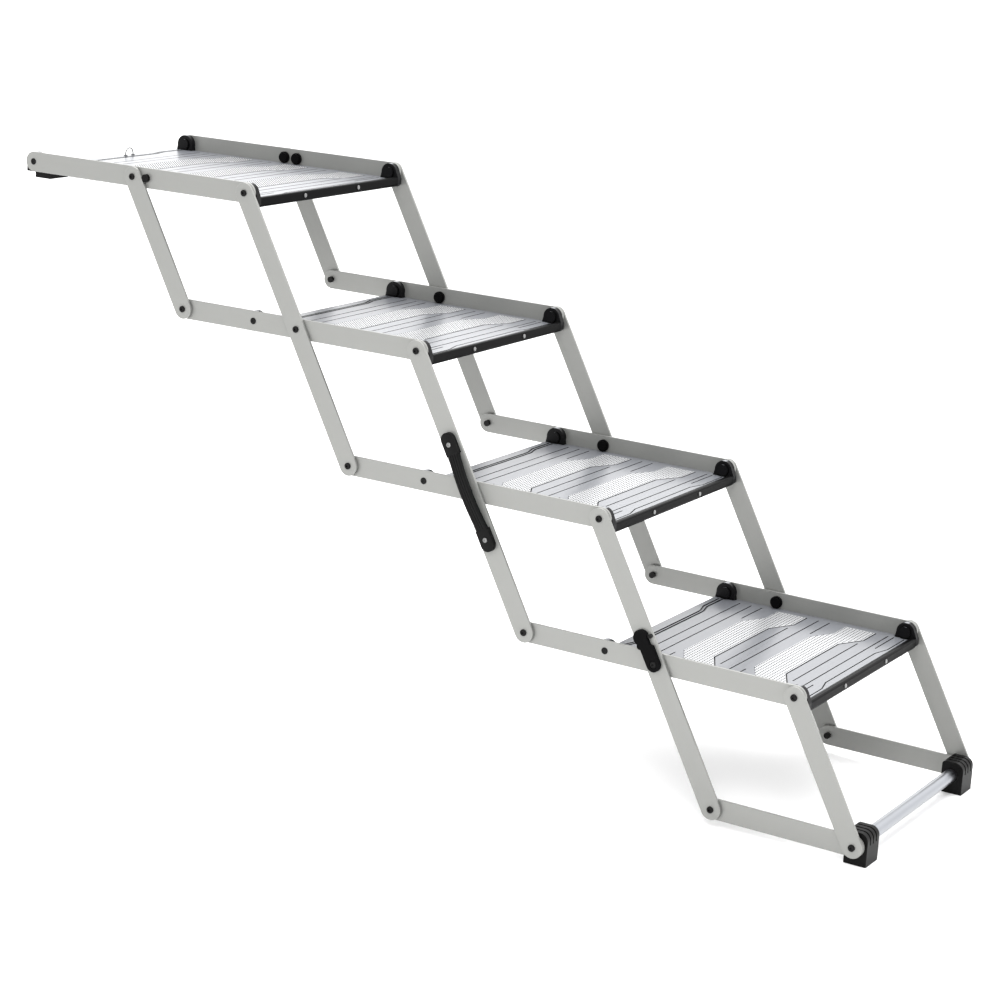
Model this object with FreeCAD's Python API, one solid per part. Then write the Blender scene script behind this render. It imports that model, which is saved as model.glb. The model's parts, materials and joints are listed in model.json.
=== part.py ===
import FreeCAD, Part
import math
import os

# Folding four-step pet stairs, drawn unfolded.  Millimetres, +Z up, +X from the
# top tread towards the floor end, origin at the bottom centre of the whole object.
# Tier 0 is the top frame, tier 4 the floor frame; leg 1 is the rearmost pair.

# Lattice
TREAD_PITCH = 210.0        # pivot spacing along a rail
LEG_PITCH = 212.0          # pivot spacing along a leg
LEG_SLOPE = 61.57          # slope of the unfolded legs below horizontal, degrees
TOP_REAR_REACH = 200.0     # top rail, from leg 1's pivot back to the rear boss
REAR_BOLT_REACH = 128.5    # lower rails, from the first pivot to the rear boss

# Flat bars, measured from the mid-plane
BAR_WIDTH = 30.0
BAR_EDGE = 0.5
RAIL_INNER = 185.5
RAIL_OUTER = 189.5
WASHER_OUTER = 190.6
LEG_INNER = 190.7
LEG_OUTER = 194.7

# Fasteners
SHANK_RADIUS = 3.0
RUNNING_CLEARANCE = 0.05
HEAD_RADIUS = 4.9
HEAD_GAP = 0.15
HEAD_TOP = 197.2
LOW_HEAD_TOP = 190.5
SOCKET_RADIUS = 2.3
SOCKET_DEPTH = 1.4
WASHER_RADIUS = 12.0
END_NUT_RADIUS = 4.75
END_NUT_LENGTH = 5.0
CAP_RADIUS = 9.2
CAP_LENGTH = 7.0

# Treads
DECK_TOP = -9.3            # below the rail's centre line
DECK_SKIN = 3.0
DECK_BOTTOM = -16.0
DECK_HALF_WIDTH = 185.2
DECK_FRONT = 8.0           # ahead of the front pivot
DECK_WALL = 2.5
DECK_OVERHANG = 16.5       # behind the rear boss
BOSS_INNER = 176.5
BOSS_TIP = 173.5
BOSS_TIP_RADIUS = 8.5
FRONT_BOSS_RADIUS = 14.0
REAR_BOSS_RADIUS = 15.0
NOSE_FRONT = 18.0
NOSE_TOP = -6.0
NOSE_BOTTOM = -21.0
NOSE_HALF_WIDTH = 176.3
NOSE_SCREW_Y = 68.5
NOSE_SCREW_Z = -12.5

# Tread grooves, distances ahead of the front pivot
GROOVE_WIDTH = 1.9
WIDE_GROOVE_WIDTH = 3.2
GROOVE_DEPTH = 1.4
GROOVE_REACH = 170.0
BAND_FRONT = -63.0
BAND_PERIOD = 110.3

# Leg stop, feet and tie-down loop
STOP_RADIUS = 6.0
STOP_GAP = 0.3
TOP_FOOT_BOTTOM = -24.5
TOP_FOOT_INNER = 144.5
FOOT_INNER = 147.5
FOOT_BACK = -14.0
FOOT_FRONT = 18.5
FOOT_BOTTOM = -27.0
FOOT_TOP = 20.0
TUBE_RADIUS = 9.5
TUBE_SOCKET = 10.0
LOOP_Y = 46.0
LOOP_WIDTH = 18.0
LOOP_HEIGHT = 12.0
LOOP_WIRE = 1.0

# Carry handle, along leg 3 from its middle pivot
HANDLE_SCREW = 71.65
HANDLE_END = 89.25
PAD_WIDTH = 21.5
PAD_THICKNESS = 7.0
PAD_INNER_END = 56.0
STRAP_WIDTH = 18.0
STRAP_INNER = 6.6
STRAP_OUTER = 12.0

# Transport latch, along leg 4 from its middle pivot
LATCH_INNER = 195.0
LATCH_OUTER = 200.2
LATCH_HALF_WIDTH = 10.5
LATCH_CATCH = 38.43        # reach to the bolt head it catches
CATCH_RADIUS = 5.6
CATCH_TOP = 197.6
STUD_S = 38.0
STUD_N = 11.0
STUD_RADIUS = 3.0
STUD_TOP = 199.0

ORIGIN = FreeCAD.Vector(0, 0, 0)
X_AXIS = FreeCAD.Vector(1, 0, 0)
Y_AXIS = FreeCAD.Vector(0, 1, 0)
Z_AXIS = FreeCAD.Vector(0, 0, 1)

LEG_RUN = LEG_PITCH * math.cos(math.radians(LEG_SLOPE))
LEG_DROP = LEG_PITCH * math.sin(math.radians(LEG_SLOPE))
TOP_DECK_REAR = -TREAD_PITCH - TOP_REAR_REACH - DECK_OVERHANG
DECK_REAR = -2 * TREAD_PITCH + REAR_BOLT_REACH - DECK_OVERHANG
STOP_X = (BAR_WIDTH / 2 + STOP_RADIUS + STOP_GAP) / math.sin(math.radians(LEG_SLOPE))

# Place of the first pivot that centres the whole object over the origin
FIRST_X = -(TREAD_PITCH + TOP_DECK_REAR + 4 * TREAD_PITCH + 4 * LEG_RUN + FOOT_FRONT) / 2
MID_Y = (STRAP_OUTER + LEG_OUTER - HEAD_TOP) / 2
FIRST_Z = 4 * LEG_DROP - FOOT_BOTTOM

# Tiers joined by each leg, and columns of the pivots on each rail
LEG_TIERS = {1: (0, 1), 2: (0, 1, 2), 3: (1, 2, 3), 4: (2, 3, 4), 5: (3, 4)}
RAIL_COLUMNS = {0: (0, 1), 1: (0, 1, 2), 2: (1, 2, 3), 3: (2, 3, 4), 4: (3, 4)}
SIDES = {"left": -1, "right": 1}


def pivot(tier, column):
    """Place of a lattice pivot as (x, z), before the final shift."""
    return (column * TREAD_PITCH + tier * LEG_RUN, -tier * LEG_DROP)


def span(side, inner, outer):
    """The lower and upper y of a layer between two distances from the mid-plane."""
    ends = (side * inner, side * outer)
    return min(ends), max(ends)


def pin(point, side, inner, outer, radius):
    """Cylinder across the object, between two distances from the mid-plane."""
    low, high = span(side, inner, outer)
    base = FreeCAD.Vector(point[0], low, point[1])
    return Part.makeCylinder(radius, high - low, base, Y_AXIS)


def block(x0, x1, y0, y1, z0, z1):
    """Box between opposite corners."""
    return Part.makeBox(x1 - x0, y1 - y0, z1 - z0, FreeCAD.Vector(x0, y0, z0))


def plate(points, side, inner, outer):
    """Polygon in the XZ plane, drawn out across a layer."""
    low, high = span(side, inner, outer)
    corners = [FreeCAD.Vector(x, low, z) for x, z in points]
    face = Part.Face(Part.makePolygon(corners + corners[:1]))
    return face.extrude(FreeCAD.Vector(0, high - low, 0))


def fused(shapes):
    """One solid made from overlapping shapes."""
    return shapes[0].multiFuse(shapes[1:]).removeSplitter()


def put(shape, point, slope=0.0):
    """Turn a shape drawn along +X down by a slope, then move it to a point."""
    shape.rotate(ORIGIN, Y_AXIS, slope)
    shape.translate(FreeCAD.Vector(point[0], 0, point[1]))
    return shape


def capsule(x0, x1, width, side, inner, outer):
    """Flat bar along X with full-round ends centred on x0 and x1."""
    low, high = span(side, inner, outer)
    half = width / 2
    corners = [FreeCAD.Vector(x, low, z) for x, z in ((x0, half), (x1, half), (x1, -half), (x0, -half))]
    nose = Part.Arc(corners[1], FreeCAD.Vector(x1 + half, low, 0), corners[2]).toShape()
    tail = Part.Arc(corners[3], FreeCAD.Vector(x0 - half, low, 0), corners[0]).toShape()
    upper = Part.makeLine(corners[0], corners[1])
    lower = Part.makeLine(corners[2], corners[3])
    face = Part.Face(Part.Wire([upper, nose, lower, tail]))
    return face.extrude(FreeCAD.Vector(0, high - low, 0))


def flat_bar(x0, x1, side, inner, outer, holes, radius):
    """Round-ended bar with softened edges and round holes along its centre line."""
    bar = capsule(x0, x1, BAR_WIDTH, side, inner, outer)
    flat_edges = [e for e in bar.Edges if abs(e.Vertexes[0].Y - e.Vertexes[-1].Y) < 0.01]
    bar = bar.makeFillet(BAR_EDGE, flat_edges)
    for x in holes:
        bar = bar.cut(pin((x, 0), side, inner, outer, radius))
    return bar


def leg(number, side):
    """One leg bar; its holes run on the bolts of the rails it joins."""
    tiers = LEG_TIERS[number]
    holes = [LEG_PITCH * (tier - tiers[0]) for tier in tiers]
    bar = flat_bar(0, holes[-1], side, LEG_INNER, LEG_OUTER, holes, SHANK_RADIUS + RUNNING_CLEARANCE)
    if side == SIDES["left"] and number == 3:
        for s in (-HANDLE_SCREW, HANDLE_SCREW):
            bar = bar.cut(pin((LEG_PITCH + s, 0), side, LEG_INNER + 0.5, LEG_OUTER, 2.0))
    if side == SIDES["left"] and number == 4:
        stud = (LEG_PITCH - STUD_S, STUD_N)
        bar = bar.cut(pin(stud, side, LEG_INNER + 0.5, LEG_OUTER, 2.0))
    return put(bar, pivot(tiers[0], number - 1), LEG_SLOPE)


def rail(tier, side):
    """One rail bar, clamped between the washers and the parts inside it."""
    columns = RAIL_COLUMNS[tier]
    holes = [TREAD_PITCH * (column - columns[0]) for column in columns]
    start = 0.0
    if tier == 0:
        start = -TOP_REAR_REACH
        holes += [start, STOP_X]
    elif tier < 4:
        holes.append(REAR_BOLT_REACH)
    end = TREAD_PITCH * (columns[-1] - columns[0])
    bar = flat_bar(start, end, side, RAIL_INNER, RAIL_OUTER, holes, SHANK_RADIUS)
    return put(bar, pivot(tier, columns[0]))


def button_bolt(point, side, end, seat, top):
    """Bolt with a domed hexagon-socket head; its shank runs in from the seat."""
    head = pin(point, side, seat, top, HEAD_RADIUS)
    rim = [e for e in head.Edges if abs(abs(e.Vertexes[0].Y) - top) < 0.01 and e.Closed]
    head = head.makeFillet(min(1.2, 0.6 * (top - seat)), rim)
    corners = [math.radians(60 * k) for k in range(6)]
    hexagon = [(point[0] + SOCKET_RADIUS * math.cos(a), point[1] + SOCKET_RADIUS * math.sin(a)) for a in corners]
    depth = min(SOCKET_DEPTH, 0.6 * (top - seat))
    head = head.cut(plate(hexagon, side, top - depth, top + 1))
    return fused([head, pin(point, side, end, seat, SHANK_RADIUS)])


def bolts(tier):
    """Every bolt of one tier: the pivots, then the rear bosses and the leg stops."""
    columns = RAIL_COLUMNS[tier]
    solids = []
    for side in SIDES.values():
        for column in columns:
            seat, top = LEG_OUTER + HEAD_GAP, HEAD_TOP
            if tier == 3 and column == 3 and side == SIDES["left"]:
                continue
            if tier == 4 and column == 4:
                end = FOOT_INNER + TUBE_SOCKET + 8
            elif column == columns[0] and tier > 0:
                end = RAIL_INNER - END_NUT_LENGTH + 1
            else:
                end = RAIL_INNER - CAP_LENGTH + 1
            solids.append(button_bolt(pivot(tier, column), side, end, seat, top))
        if tier < 4:
            end = RAIL_INNER - CAP_LENGTH + 1
            solids.append(button_bolt(rear_boss(tier), side, end, RAIL_OUTER, LOW_HEAD_TOP))
        if tier == 0:
            solids.append(pin((STOP_X, 0), side, RAIL_INNER - CAP_LENGTH + 1, LEG_OUTER - 1, SHANK_RADIUS))
    if tier == 3:
        solids.append(latch_bolt())
    return Part.makeCompound(solids)


def latch_bolt():
    """Longer pivot bolt whose head sits inside the latch."""
    seat = LATCH_INNER + 2.55
    end = RAIL_INNER - CAP_LENGTH + 1
    return button_bolt(pivot(3, 3), SIDES["left"], end, seat, LATCH_OUTER - 0.2)


def washers(tier):
    """Spacer discs between the rails and the legs."""
    solids = []
    for side in SIDES.values():
        for column in RAIL_COLUMNS[tier]:
            disc = pin(pivot(tier, column), side, RAIL_OUTER, WASHER_OUTER, WASHER_RADIUS)
            solids.append(disc.cut(pin(pivot(tier, column), side, RAIL_OUTER, WASHER_OUTER, SHANK_RADIUS)))
    return Part.makeCompound(solids)


def cap_nut(point, side):
    """Domed plastic-covered nut on the inner face of a rail."""
    base = pin(point, side, RAIL_INNER - 4, RAIL_INNER, CAP_RADIUS)
    tip = pin(point, side, RAIL_INNER - CAP_LENGTH, RAIL_INNER - 4, CAP_RADIUS - 1.6)
    bore = pin(point, side, RAIL_INNER - CAP_LENGTH + 1, RAIL_INNER, SHANK_RADIUS)
    return fused([base, tip]).cut(bore)


def cap_nuts(tier):
    """Cap nuts on the pivots between the treads' bosses, and behind the leg stops."""
    points = [pivot(tier, RAIL_COLUMNS[tier][0])] if tier == 0 else [pivot(tier, RAIL_COLUMNS[tier][1])]
    if tier == 0:
        points.append((STOP_X, 0))
    return Part.makeCompound([cap_nut(point, side) for side in SIDES.values() for point in points])


def end_nuts(tier):
    """Small nuts on the rearmost pivots of a lower rail."""
    solids = []
    point = pivot(tier, RAIL_COLUMNS[tier][0])
    for side in SIDES.values():
        nut = pin(point, side, RAIL_INNER - END_NUT_LENGTH, RAIL_INNER, END_NUT_RADIUS)
        solids.append(nut.cut(pin(point, side, RAIL_INNER - END_NUT_LENGTH + 1, RAIL_INNER, SHANK_RADIUS)))
    return Part.makeCompound(solids)


def rear_boss(tier):
    """Place of the tread's rear bolt as (x, z)."""
    x, z = pivot(tier, RAIL_COLUMNS[tier][0])
    return (x - TOP_REAR_REACH, z) if tier == 0 else (x + REAR_BOLT_REACH, z)


def front_boss(side):
    """Front bearing of a tread, drawn about the front pivot."""
    hub = pin((0, 0), side, BOSS_INNER, RAIL_INNER, FRONT_BOSS_RADIUS)
    tip = pin((0, 0), side, BOSS_TIP, BOSS_INNER, BOSS_TIP_RADIUS)
    outline = [(-16, DECK_BOTTOM), (-16, DECK_TOP), (-12, 7), (12, 7), (16, -2), (NOSE_FRONT, -8),
               (NOSE_FRONT, NOSE_BOTTOM + 4), (NOSE_FRONT - 4, NOSE_BOTTOM),
               (DECK_FRONT, NOSE_BOTTOM), (DECK_FRONT - 4, DECK_BOTTOM)]
    return fused([hub, tip, plate(outline, side, BOSS_INNER, RAIL_INNER)])


def rear_boss_web(x, side):
    """Rear bearing of a tread, drawn about a point behind the front pivot."""
    hub = pin((x, 0), side, BOSS_INNER, RAIL_INNER, REAR_BOSS_RADIUS)
    tip = pin((x, 0), side, BOSS_TIP, BOSS_INNER, BOSS_TIP_RADIUS)
    outline = [(x - DECK_OVERHANG, DECK_BOTTOM), (x - DECK_OVERHANG, DECK_TOP), (x - 13, 7), (x + 13, 7),
               (x + 15.5, DECK_TOP), (x + 15.5, DECK_BOTTOM)]
    return fused([hub, tip, plate(outline, side, BOSS_INNER, RAIL_INNER)])


def groove(points, width):
    """Cutter for one shallow channel through a run of (u, y) points."""
    tools = []
    for (u0, y0), (u1, y1) in zip(points, points[1:]):
        length = math.hypot(u1 - u0, y1 - y0)
        tool = block(0, length, -width / 2, width / 2, -GROOVE_DEPTH, 1)
        tool.rotate(ORIGIN, Z_AXIS, math.degrees(math.atan2(y1 - y0, u1 - u0)))
        tool.translate(FreeCAD.Vector(u0, y0, DECK_TOP))
        tools.append(tool)
    for u, y in points[1:-1]:
        base = FreeCAD.Vector(u, y, DECK_TOP - GROOVE_DEPTH)
        tools.append(Part.makeCylinder(width / 2, GROOVE_DEPTH + 1, base, Z_AXIS))
    return fused(tools) if len(tools) > 1 else tools[0]


def stepped_line(middle, ends, y_middle, y_end):
    """Line across the tread that jogs to another distance near both edges."""
    return [(ends, -GROOVE_REACH), (ends, -y_end), (middle, -y_middle),
            (middle, y_middle), (ends, y_end), (ends, GROOVE_REACH)]


def wide_groove_lines(rear):
    """The double channel beside a tread's rear edge."""
    return [stepped_line(rear + 22, rear + 15.5, 97, 120), stepped_line(rear + 17, rear + 10, 97, 120)]


def groove_lines(bands):
    """The narrow channels of a tread as runs of (u, y) points."""
    lines = [stepped_line(-5, 2, 83, 110)]
    partial = [-14.0]
    for band in range(bands):
        front = BAND_FRONT - BAND_PERIOD * band
        lines.append([(front + 40, -GROOVE_REACH), (front + 40, GROOVE_REACH)])
        lines.append([(front + 20, -107), (front + 20, 107)])
        lines.append(stepped_line(front, front + 21, 86, 126))
        partial.append(front - 53)
    last = BAND_FRONT - BAND_PERIOD * bands
    lines.append([(last + 40, -GROOVE_REACH), (last + 40, GROOVE_REACH)])
    lines.append([(last + 21, -GROOVE_REACH), (last + 21, GROOVE_REACH)])
    for u in partial:
        lines.append([(u, 103), (u, GROOVE_REACH)])
        lines.append([(u, -GROOVE_REACH), (u, -103)])
    return lines


def deck(tier):
    """Ribbed tread moulding with its four bosses and the channels in its top."""
    rear = TOP_DECK_REAR if tier == 0 else DECK_REAR
    bands = 3 if tier == 0 else 2
    half = DECK_HALF_WIDTH
    skin = DECK_TOP - DECK_SKIN
    shell = block(rear, DECK_FRONT, -half, half, DECK_BOTTOM, DECK_TOP)
    inside = half - DECK_WALL
    shell = shell.cut(block(rear + DECK_WALL, DECK_FRONT - DECK_WALL, -inside, inside, DECK_BOTTOM - 1, skin))
    ribs = [block(rear + 1, DECK_FRONT - 1, y - 1, y + 1, DECK_BOTTOM + 0.5, skin + 1) for y in (-110, -37, 37, 110)]
    count = 2 * bands + 1
    for k in range(1, count):
        x = rear + (DECK_FRONT - rear) * k / count
        ribs.append(block(x - 1, x + 1, -half + 1, half - 1, DECK_BOTTOM + 0.5, skin + 1))
    if tier == 0:
        for side in SIDES.values():
            low, high = span(side, TOP_FOOT_INNER - 2, half - 1)
            start = rear + DECK_OVERHANG - 2
            ribs.append(block(start, start + 34, low, high, DECK_BOTTOM, skin + 1))
    body = shell.multiFuse(ribs)
    cutters = [groove(line, GROOVE_WIDTH) for line in groove_lines(bands)]
    cutters += [groove(line, WIDE_GROOVE_WIDTH) for line in wide_groove_lines(rear)]
    body = body.cut(Part.makeCompound(cutters))
    bosses = []
    for side in SIDES.values():
        bosses.append(front_boss(side))
        bosses.append(rear_boss_web(rear + DECK_OVERHANG, side))
    body = body.multiFuse(bosses).removeSplitter()
    bore_tip = RAIL_INNER - CAP_LENGTH + 1
    for side in SIDES.values():
        for x in (0, rear + DECK_OVERHANG):
            body = body.cut(pin((x, 0), side, bore_tip, RAIL_INNER, SHANK_RADIUS))
        base = FreeCAD.Vector(DECK_FRONT, side * NOSE_SCREW_Y, NOSE_SCREW_Z)
        body = body.cut(Part.makeCylinder(1.5, DECK_WALL, base, X_AXIS * -1))
    return put(body, pivot(tier, RAIL_COLUMNS[tier][-1]))


def nosing(tier):
    """Edge strip screwed along the front of a tread."""
    outline = [(DECK_FRONT, NOSE_BOTTOM), (DECK_FRONT, NOSE_TOP - 1.5), (NOSE_FRONT - 6, NOSE_TOP),
               (NOSE_FRONT - 2.5, NOSE_TOP), (NOSE_FRONT - 0.7, NOSE_TOP - 0.8), (NOSE_FRONT, NOSE_TOP - 2.5),
               (NOSE_FRONT, NOSE_BOTTOM + 4), (NOSE_FRONT - 1.2, NOSE_BOTTOM + 1.2), (NOSE_FRONT - 4, NOSE_BOTTOM)]
    corners = [FreeCAD.Vector(x, -NOSE_HALF_WIDTH, z) for x, z in outline]
    strip = Part.Face(Part.makePolygon(corners + corners[:1])).extrude(FreeCAD.Vector(0, 2 * NOSE_HALF_WIDTH, 0))
    for side in SIDES.values():
        base = FreeCAD.Vector(DECK_FRONT, side * NOSE_SCREW_Y, NOSE_SCREW_Z)
        strip = strip.cut(Part.makeCylinder(1.5, NOSE_FRONT - DECK_FRONT, base, X_AXIS))
    return put(strip, pivot(tier, RAIL_COLUMNS[tier][-1]))


def nosing_screws(tier):
    """Two round-headed screws through the edge strip."""
    solids = []
    for side in SIDES.values():
        seat = FreeCAD.Vector(NOSE_FRONT, side * NOSE_SCREW_Y, NOSE_SCREW_Z)
        head = Part.makeCylinder(3.2, 1.4, seat, X_AXIS)
        rim = [e for e in head.Edges if e.Closed and abs(e.Vertexes[0].X - NOSE_FRONT - 1.4) < 0.01]
        head = head.makeFillet(0.9, rim)
        shank_length = NOSE_FRONT - DECK_FRONT + DECK_WALL
        shank = Part.makeCylinder(1.5, shank_length, seat, X_AXIS * -1)
        solids.append(fused([head, shank]))
    return put(Part.makeCompound(solids), pivot(tier, RAIL_COLUMNS[tier][-1]))


def leg_stops():
    """Discs on the top rails that leg 1 rests against when unfolded."""
    solids = []
    for side in SIDES.values():
        disc = pin((STOP_X, 0), side, RAIL_OUTER, LEG_OUTER, STOP_RADIUS)
        solids.append(disc.cut(pin((STOP_X, 0), side, RAIL_OUTER, LEG_OUTER - 1, SHANK_RADIUS)))
    return Part.makeCompound(solids)


def top_feet():
    """Grip pads under the rear of the top tread."""
    solids = []
    for side in SIDES.values():
        low, high = span(side, TOP_FOOT_INNER, RAIL_INNER - 0.5)
        pad = block(-TOP_REAR_REACH, -TOP_REAR_REACH + 30, low, high, TOP_FOOT_BOTTOM, DECK_BOTTOM)
        corners = [e for e in pad.Edges if abs(e.BoundBox.ZMax - TOP_FOOT_BOTTOM) < 0.01]
        solids.append(pad.makeFillet(1.5, corners))
    return Part.makeCompound(solids)


def tether_loop():
    """Wire loop standing on the rear of the top tread."""
    x = TREAD_PITCH + TOP_DECK_REAR + 8
    half = LOOP_WIDTH / 2
    shoulder = DECK_TOP + LOOP_HEIGHT - half
    left = FreeCAD.Vector(x, LOOP_Y - half, DECK_TOP)
    right = FreeCAD.Vector(x, LOOP_Y + half, DECK_TOP)
    left_top = FreeCAD.Vector(x, LOOP_Y - half, shoulder)
    right_top = FreeCAD.Vector(x, LOOP_Y + half, shoulder)
    crown = FreeCAD.Vector(x, LOOP_Y, shoulder + half)
    arc = Part.Arc(left_top, crown, right_top).toShape()
    path = Part.Wire([Part.makeLine(left, left_top), arc, Part.makeLine(right_top, right)])
    profile = Part.Wire([Part.makeCircle(LOOP_WIRE, left, Z_AXIS)])
    wire = path.makePipeShell([profile], True, True)
    flanges = [Part.makeCylinder(3.0, 1.4, foot, Z_AXIS) for foot in (left, right)]
    return fused([wire] + flanges)


def bottom_feet():
    """Floor blocks inside the ends of the floor frame, with three grooves over the top."""
    solids = []
    for side in SIDES.values():
        low, high = span(side, FOOT_INNER, RAIL_INNER)
        foot = block(FOOT_BACK, FOOT_FRONT, low, high, FOOT_BOTTOM, FOOT_TOP)
        front = [e for e in foot.Edges if e.BoundBox.XMin > FOOT_FRONT - 0.01 and e.BoundBox.ZMin > FOOT_TOP - 0.01]
        foot = foot.makeFillet(12.0, front)
        back = [e for e in foot.Edges if e.BoundBox.XMax < FOOT_BACK + 0.01 and e.BoundBox.ZMin > FOOT_TOP - 0.01]
        foot = foot.makeFillet(5.0, back)
        for k in (1, 2, 3):
            y = low + (high - low) * k / 4
            ring = block(FOOT_BACK - 1, FOOT_FRONT + 1, y - 1.6, y + 1.6, 2, FOOT_TOP + 1)
            core = block(FOOT_BACK + 2.5, FOOT_FRONT - 2.5, y - 2, y + 2, 1, FOOT_TOP - 2.5)
            edge = [e for e in core.Edges if e.BoundBox.XMin > FOOT_FRONT - 3 and e.BoundBox.ZMin > FOOT_TOP - 3]
            foot = foot.cut(ring.cut(core.makeFillet(9.5, edge)))
        socket = pin((0, 0), side, FOOT_INNER, FOOT_INNER + TUBE_SOCKET, TUBE_RADIUS)
        bore = pin((0, 0), side, FOOT_INNER + TUBE_SOCKET + 8, RAIL_INNER, SHANK_RADIUS)
        solids.append(put(foot.cut(socket).cut(bore), pivot(4, 4)))
    return solids


def cross_tube():
    """Round tube between the floor blocks."""
    half = FOOT_INNER + TUBE_SOCKET
    x, z = pivot(4, 4)
    base = FreeCAD.Vector(x, -half, z)
    outer = Part.makeCylinder(TUBE_RADIUS, 2 * half, base, Y_AXIS)
    inner = Part.makeCylinder(TUBE_RADIUS - 1.2, 2 * half, base, Y_AXIS)
    return outer.cut(inner)


def handle():
    """Bowed carry strap between two screwed pads, drawn about leg 3's middle pivot."""
    side = SIDES["left"]
    face = LEG_OUTER
    pads = []
    for way in (-1, 1):
        start, end = sorted((way * PAD_INNER_END, way * (HANDLE_END - PAD_WIDTH / 2)))
        tongue = block(start, end, -face - PAD_THICKNESS, -face, -PAD_WIDTH / 2, PAD_WIDTH / 2)
        cap = pin((way * (HANDLE_END - PAD_WIDTH / 2), 0), side, face, face + PAD_THICKNESS, PAD_WIDTH / 2)
        pads.append(fused([tongue, cap]))
    reach = PAD_INNER_END + 4
    base = -STRAP_WIDTH / 2
    low_points = [FreeCAD.Vector(s, -face - off, base) for s, off in
                  ((-reach, 0.6), (0, STRAP_INNER), (reach, 0.6))]
    high_points = [FreeCAD.Vector(s, -face - off, base) for s, off in
                   ((reach, PAD_THICKNESS - 0.7), (0, STRAP_OUTER), (-reach, PAD_THICKNESS - 0.7))]
    sides = [Part.Arc(*low_points).toShape(), Part.makeLine(low_points[-1], high_points[0]),
             Part.Arc(*high_points).toShape(), Part.makeLine(high_points[-1], low_points[0])]
    strap = Part.Face(Part.Wire(sides)).extrude(FreeCAD.Vector(0, 0, STRAP_WIDTH))
    long_edges = [e for e in strap.Edges if e.BoundBox.XLength > PAD_INNER_END]
    strap = strap.makeFillet(2.0, long_edges)
    body = fused(pads + [strap])
    for s in (-HANDLE_SCREW, HANDLE_SCREW):
        body = body.cut(pin((s, 0), side, face, face + PAD_THICKNESS, 2.0))
    return put(body, pivot(2, 2), LEG_SLOPE)


def handle_screws():
    """Two cross-recessed screws through the handle's pads."""
    side = SIDES["left"]
    seat = LEG_OUTER + PAD_THICKNESS
    solids = []
    for s in (-HANDLE_SCREW, HANDLE_SCREW):
        head = pin((s, 0), side, seat, seat + 1.8, 3.6)
        rim = [e for e in head.Edges if e.Closed and abs(e.Vertexes[0].Y + seat + 1.8) < 0.01]
        head = head.makeFillet(1.2, rim)
        for half_x, half_z in ((1.8, 0.5), (0.5, 1.8)):
            low, high = span(side, seat + 0.9, seat + 2)
            head = head.cut(block(s - half_x, s + half_x, low, high, -half_z, half_z))
        solids.append(fused([head, pin((s, 0), side, LEG_INNER + 0.5, seat, 2.0)]))
    return put(Part.makeCompound(solids), pivot(2, 2), LEG_SLOPE)


def latch():
    """Swinging hook, drawn about leg 4's middle pivot and pointing up the leg."""
    side = SIDES["left"]
    body = capsule(-28, 0, 2 * LATCH_HALF_WIDTH, side, LATCH_INNER, LATCH_OUTER)
    head = pin((-40, -3), side, LATCH_INNER, LATCH_OUTER, 11.8)
    lip = pin((-29.5, -9.5), side, LATCH_INNER, LATCH_OUTER, 4.6)
    hook = fused([body, head, lip])
    relief = capsule(-STUD_S, -STUD_S + 9, 2 * (STUD_RADIUS + 1.4), side, LATCH_INNER, LATCH_OUTER)
    relief.translate(FreeCAD.Vector(0, 0, STUD_N))
    hook = hook.cut(relief)
    top_rim = [e for e in hook.Edges if e.BoundBox.YMax < -LATCH_OUTER + 0.01]
    hook = hook.makeChamfer(0.6, top_rim)
    catch = capsule(-LATCH_CATCH, 0, 2 * CATCH_RADIUS, side, LATCH_INNER, CATCH_TOP)
    catch.rotate(FreeCAD.Vector(-LATCH_CATCH, 0, 0), Y_AXIS, 90)
    hook = hook.cut(catch)
    hook = hook.cut(pin((0, 0), side, LATCH_INNER, LATCH_OUTER, SHANK_RADIUS + RUNNING_CLEARANCE))
    hook = hook.cut(pin((0, 0), side, LATCH_INNER + 2.4, LATCH_OUTER, HEAD_RADIUS + 0.6))
    return put(hook, pivot(3, 3), LEG_SLOPE)


def latch_stud():
    """Peg on leg 4 that the parked latch rests beside."""
    side = SIDES["left"]
    peg = pin((-STUD_S, STUD_N), side, LEG_OUTER, STUD_TOP, STUD_RADIUS)
    tail = pin((-STUD_S, STUD_N), side, LEG_INNER + 0.5, LEG_OUTER, 2.0)
    return put(fused([peg, tail]), pivot(3, 3), LEG_SLOPE)


def build():
    """Every piece by name, in its place in the unfolded stairs."""
    pieces = {}
    for tier in range(5):
        name = "tier%d_" % tier
        for side_name, side in SIDES.items():
            pieces[name + "rail_" + side_name] = rail(tier, side)
        pieces[name + "bolts"] = bolts(tier)
        pieces[name + "washers"] = washers(tier)
        if tier > 0:
            pieces[name + "end_nuts"] = end_nuts(tier)
        if tier < 4:
            pieces[name + "cap_nuts"] = cap_nuts(tier)
            pieces[name + "deck"] = deck(tier)
            pieces[name + "nosing"] = nosing(tier)
            pieces[name + "nosing_screws"] = nosing_screws(tier)
    pieces["leg_stops"] = leg_stops()
    pieces["top_feet"] = top_feet()
    pieces["tether_loop"] = tether_loop()
    pieces["foot_left"], pieces["foot_right"] = bottom_feet()
    pieces["cross_tube"] = cross_tube()
    for number in LEG_TIERS:
        for side_name, side in SIDES.items():
            pieces["leg%d_%s" % (number, side_name)] = leg(number, side)
    pieces["handle"] = handle()
    pieces["handle_screws"] = handle_screws()
    pieces["latch"] = latch()
    pieces["latch_stud"] = latch_stud()
    return pieces


os.makedirs("parts", exist_ok=True)
for piece_name, piece in build().items():
    piece.translate(FreeCAD.Vector(FIRST_X, MID_Y, FIRST_Z))
    piece.exportStep("parts/%s.step" % piece_name)
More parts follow.
